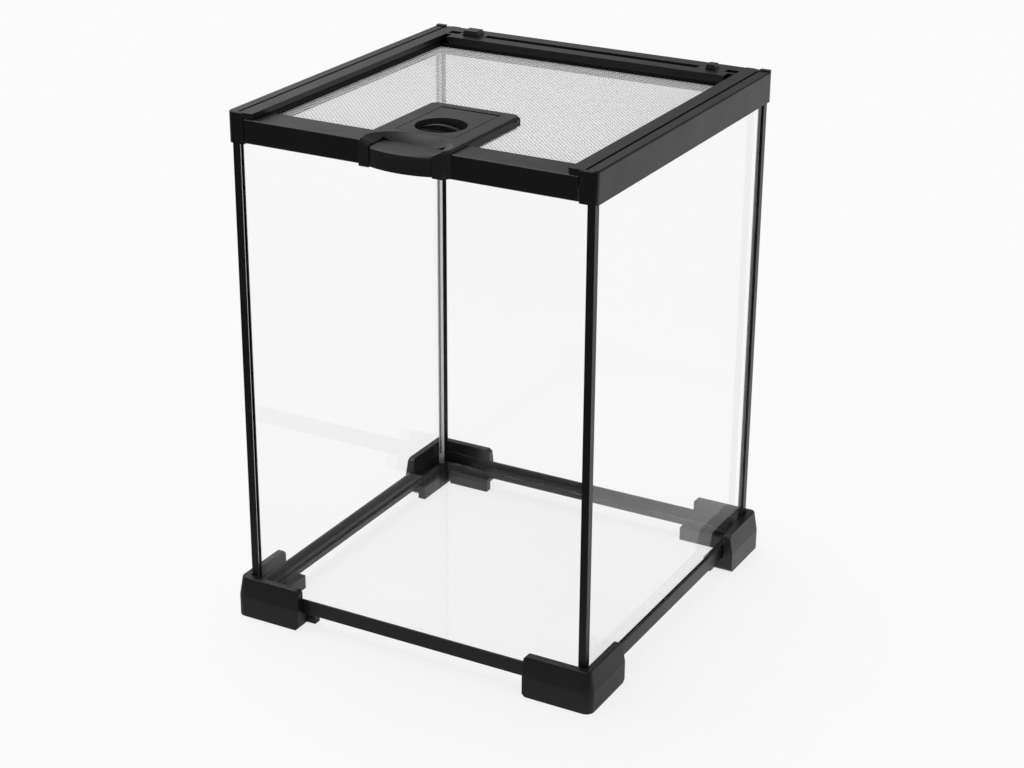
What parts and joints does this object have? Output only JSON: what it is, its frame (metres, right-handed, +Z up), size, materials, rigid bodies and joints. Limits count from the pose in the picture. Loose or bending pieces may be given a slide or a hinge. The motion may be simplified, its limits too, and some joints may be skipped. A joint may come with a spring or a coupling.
{
  "type": "glass terrarium",
  "caption": "Tall glass tank in a black frame, with a screen lid that slides out at the front, a pull latch, a hinged feeding hatch and sliding cable gates.",
  "frame": {"origin": "on the ground, under the middle of the tank's footprint", "axes": "+Z up, -Y the front with the latch, +X to the right when seen from the front"},
  "size_m": [0.224, 0.2261, 0.2971],
  "materials": {
    "clear_glass": "clear float glass with ground edges",
    "frame_plastic": "fine satin moulded black",
    "base_plastic": "satin moulded black",
    "strip_plastic": "extruded black strip, low sheen",
    "latch_plastic": "fine grain moulded black",
    "trim_plastic": "smooth moulded black",
    "inner_plastic": "plain moulded black",
    "seam_silicone": "black silicone",
    "spline_rubber": "black rubber cord",
    "screen_steel": "bright fine wire",
    "pin_steel": "plain drawn steel"
  },
  "bodies": {
    "tank": {"front_glass": "clear_glass", "back_glass": "clear_glass", "left_glass": "clear_glass", "right_glass": "clear_glass", "floor_glass": "clear_glass", "front_left_post": "strip_plastic", "front_right_post": "strip_plastic", "rear_right_post": "strip_plastic", "rear_left_post": "strip_plastic", "corner_seams": "seam_silicone", "front_base_bar": "base_plastic", "rear_base_bar": "base_plastic", "left_base_bar": "base_plastic", "right_base_bar": "base_plastic", "front_left_foot": "base_plastic", "front_right_foot": "base_plastic", "rear_right_foot": "base_plastic", "rear_left_foot": "base_plastic", "left_rail": "frame_plastic", "right_rail": "frame_plastic", "rear_rail": "frame_plastic", "rail_corner_keys": "inner_plastic", "rail_end_plugs": "trim_plastic"},
    "lid": {"lid_front_bar": "frame_plastic", "lid_left_bar": "frame_plastic", "lid_right_bar": "frame_plastic", "lid_rear_bar": "frame_plastic", "lid_corner_keys": "inner_plastic", "screen_mesh": "screen_steel", "screen_spline": "spline_rubber", "latch_housing": "latch_plastic", "port_clamp": "inner_plastic", "clamp_screws": "pin_steel", "latch_pin": "pin_steel", "hatch_pin": "pin_steel", "latch_spring": "pin_steel"},
    "latch": {"latch_handle": "latch_plastic"},
    "hatch": {"feeding_hatch": "latch_plastic"},
    "left_gate": {"left_cable_gate": "trim_plastic"},
    "right_gate": {"right_cable_gate": "trim_plastic"}
  },
  "joints": [
    {"name": "lid_slide", "type": "slide", "parent": "tank", "child": "lid", "axis": [0, -1, 0], "range_m": [0, 0.185]},
    {"name": "latch_hinge", "type": "hinge", "parent": "lid", "child": "latch", "pos_m": [0, -0.1058, 0.2835], "axis": [1, 0, 0], "range_deg": [0, 15], "stiffness_Nm_per_rad": 0.05},
    {"name": "hatch_hinge", "type": "hinge", "parent": "lid", "child": "hatch", "pos_m": [0, -0.042, 0.29095], "axis": [-1, 0, 0], "range_deg": [0, 95]},
    {"name": "left_gate_slide", "type": "slide", "parent": "tank", "child": "left_gate", "axis": [1, 0, 0], "range_m": [0, 0.016]},
    {"name": "right_gate_slide", "type": "slide", "parent": "tank", "child": "right_gate", "axis": [-1, 0, 0], "range_m": [0, 0.016]}
  ]
}
